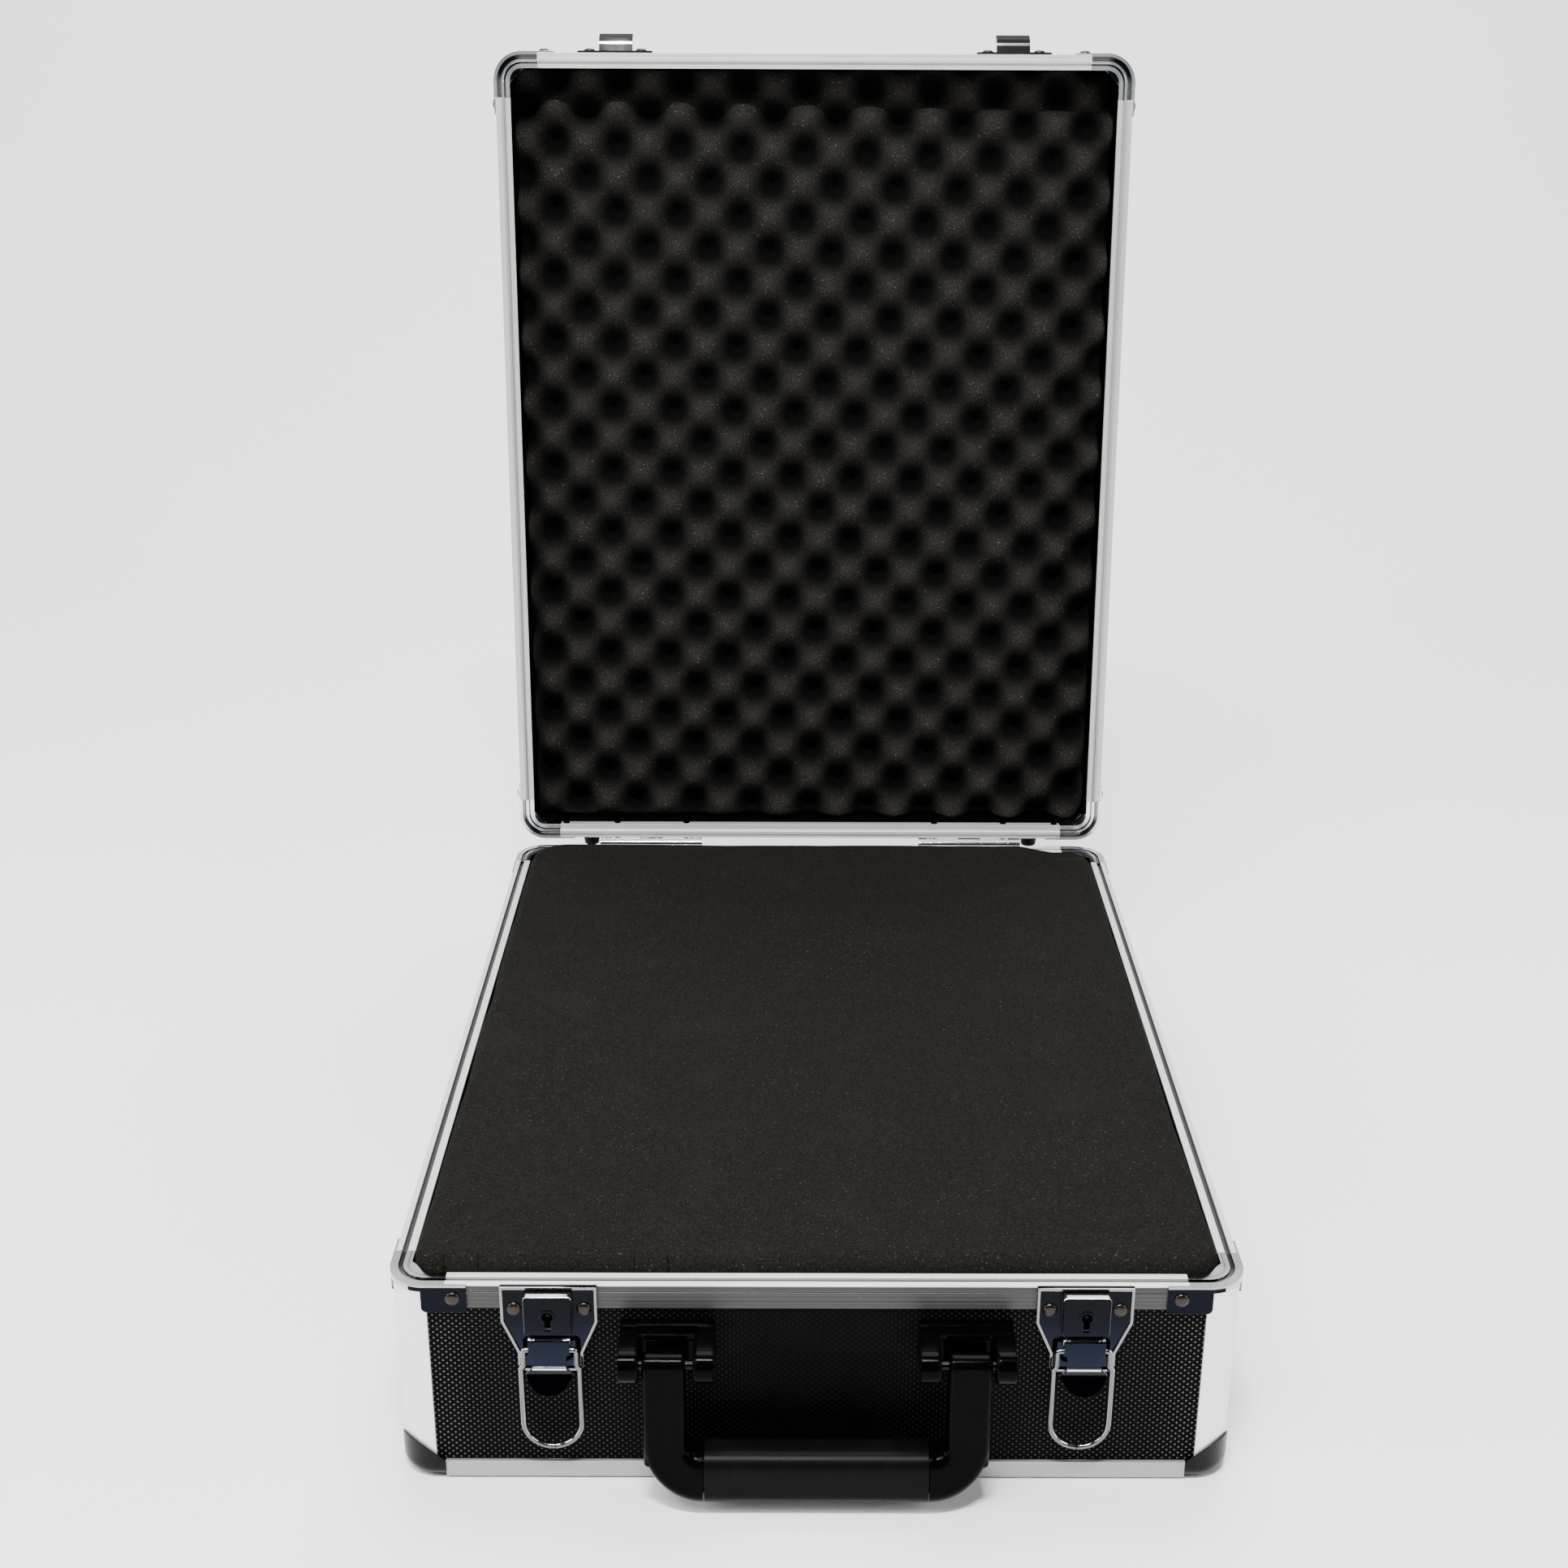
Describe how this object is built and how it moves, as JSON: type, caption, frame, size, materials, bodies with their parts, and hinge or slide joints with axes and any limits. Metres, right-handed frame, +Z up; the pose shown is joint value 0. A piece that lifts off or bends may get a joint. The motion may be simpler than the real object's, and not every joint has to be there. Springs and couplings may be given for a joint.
{
  "type": "mixer case",
  "caption": "Foam-lined case for a mixing desk, with a hinged lid, latches with wire bails, and a folding carry handle.",
  "frame": {"origin": "centre of the footprint of the base, on the plane that it stands on", "axes": "+X to the right as seen from the front, +Y to the rear where the hinges are, +Z up; the lid stands open at rest"},
  "size_m": [0.3548, 0.5703, 0.5592],
  "materials": {
    "laminate": "black laminate on board, embossed with fine raised dots",
    "profile": "satin anodised extrusion with fine lengthwise lines",
    "chrome": "bright plated pressed steel",
    "steel": "zinc plated steel",
    "moulding": "black moulded plastic, lightly polished",
    "handle_plastic": "black moulded plastic, semi-gloss",
    "grip": "soft satin grey-black sleeve",
    "rubber": "matt black rubber",
    "foam": "open-cell charcoal foam with a fine grain"
  },
  "bodies": {
    "base": {"base_bottom_panel": "laminate", "base_front_panel": "laminate", "base_rear_panel": "laminate", "base_left_panel": "laminate", "base_right_panel": "laminate", "base_rim_front": "profile", "base_rim_rear": "profile", "base_rim_left": "profile", "base_rim_right": "profile", "base_corner_profiles": "profile", "base_edge_profiles": "profile", "base_ball_corners": "moulding", "base_rim_corners": "chrome", "base_rivets": "chrome", "base_foam_pad": "foam", "base_pluck_foam": "foam", "base_rear_feet": "rubber", "hinge_base_leaf_left": "chrome", "hinge_base_leaf_right": "chrome", "hinge_pins": "steel", "latch_plate_left": "chrome", "latch_plate_right": "chrome", "latch_pins": "steel", "handle_bracket_left": "handle_plastic", "handle_bracket_right": "handle_plastic", "handle_pin_left": "steel", "handle_pin_right": "steel", "handle_screws": "steel"},
    "lid": {"lid_top_panel": "laminate", "lid_front_panel": "laminate", "lid_rear_panel": "laminate", "lid_left_panel": "laminate", "lid_right_panel": "laminate", "lid_rim_front": "profile", "lid_rim_rear": "profile", "lid_rim_left": "profile", "lid_rim_right": "profile", "lid_corner_profiles": "profile", "lid_edge_profiles": "profile", "lid_ball_corners": "moulding", "lid_rim_corners": "chrome", "lid_rivets": "chrome", "lid_foam": "foam", "lid_rear_feet": "rubber", "hinge_lid_leaf_left": "chrome", "hinge_lid_leaf_right": "chrome", "catch_left": "chrome", "catch_right": "chrome"},
    "handle": {"handle_frame": "handle_plastic", "handle_grip": "grip"},
    "lever_left": {"latch_lever_left": "chrome"},
    "lever_right": {"latch_lever_right": "chrome"},
    "bail_left": {"latch_bail_left": "chrome"},
    "bail_right": {"latch_bail_right": "chrome"},
    "bolt_left": {"lock_bolt_left": "steel"},
    "bolt_right": {"lock_bolt_right": "steel"}
  },
  "joints": [
    {"name": "lid_hinge", "type": "hinge", "parent": "base", "child": "lid", "pos_m": [0, 0.2286, 0.098], "axis": [1, 0, 0], "range_deg": [0, 95]},
    {"name": "handle_swing", "type": "hinge", "parent": "base", "child": "handle", "pos_m": [0, -0.241, 0.0707], "axis": [-1, 0, 0], "range_deg": [-5, 95]},
    {"name": "lever_pull_left", "type": "hinge", "parent": "base", "child": "lever_left", "pos_m": [-0.1093, -0.2294, 0.0732], "axis": [1, 0, 0], "range_deg": [-100, 0]},
    {"name": "lever_pull_right", "type": "hinge", "parent": "base", "child": "lever_right", "pos_m": [0.1093, -0.2294, 0.0732], "axis": [1, 0, 0], "range_deg": [-100, 0]},
    {"name": "bail_swing_left", "type": "hinge", "parent": "lever_left", "child": "bail_left", "pos_m": [-0.1093, -0.2302, 0.0697], "axis": [-1, 0, 0], "range_deg": [-4, 180]},
    {"name": "bail_swing_right", "type": "hinge", "parent": "lever_right", "child": "bail_right", "pos_m": [0.1093, -0.2302, 0.0697], "axis": [-1, 0, 0], "range_deg": [-4, 180]},
    {"name": "bolt_slide_left", "type": "slide", "parent": "base", "child": "bolt_left", "axis": [0, 0, -1], "range_m": [0, 0.0032]},
    {"name": "bolt_slide_right", "type": "slide", "parent": "base", "child": "bolt_right", "axis": [0, 0, -1], "range_m": [0, 0.0032]}
  ]
}
